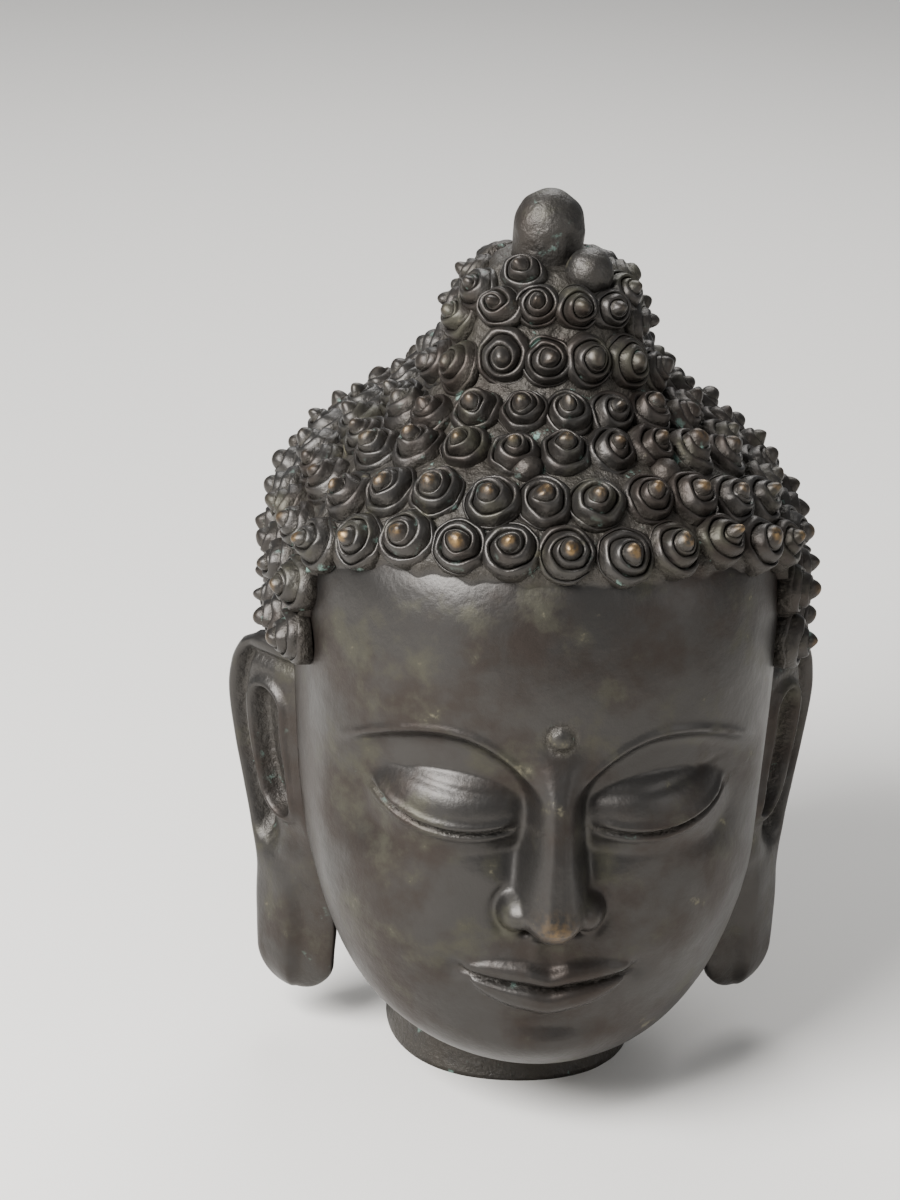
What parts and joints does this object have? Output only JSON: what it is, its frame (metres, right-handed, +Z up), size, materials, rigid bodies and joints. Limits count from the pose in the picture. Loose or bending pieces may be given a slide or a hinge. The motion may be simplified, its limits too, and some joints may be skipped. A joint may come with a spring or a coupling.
{
  "type": "bronze buddha head",
  "caption": "Small cast bronze head with snail-shell curls, long ears and a bullet-shaped jewel on its topknot, standing on its own neck",
  "frame": {"origin": "middle of the neck's flat underside", "axes": "+Z up, the face looks along -Y, +X to the right of someone who faces it"},
  "size_m": [0.0748, 0.0787, 0.109],
  "materials": {
    "patinated_bronze": "dark brown patina, satin from handling, with worn brassy high points and traces of verdigris in the hair"
  },
  "bodies": {
    "root": {"cast_head": "patinated_bronze"}
  },
  "joints": []
}
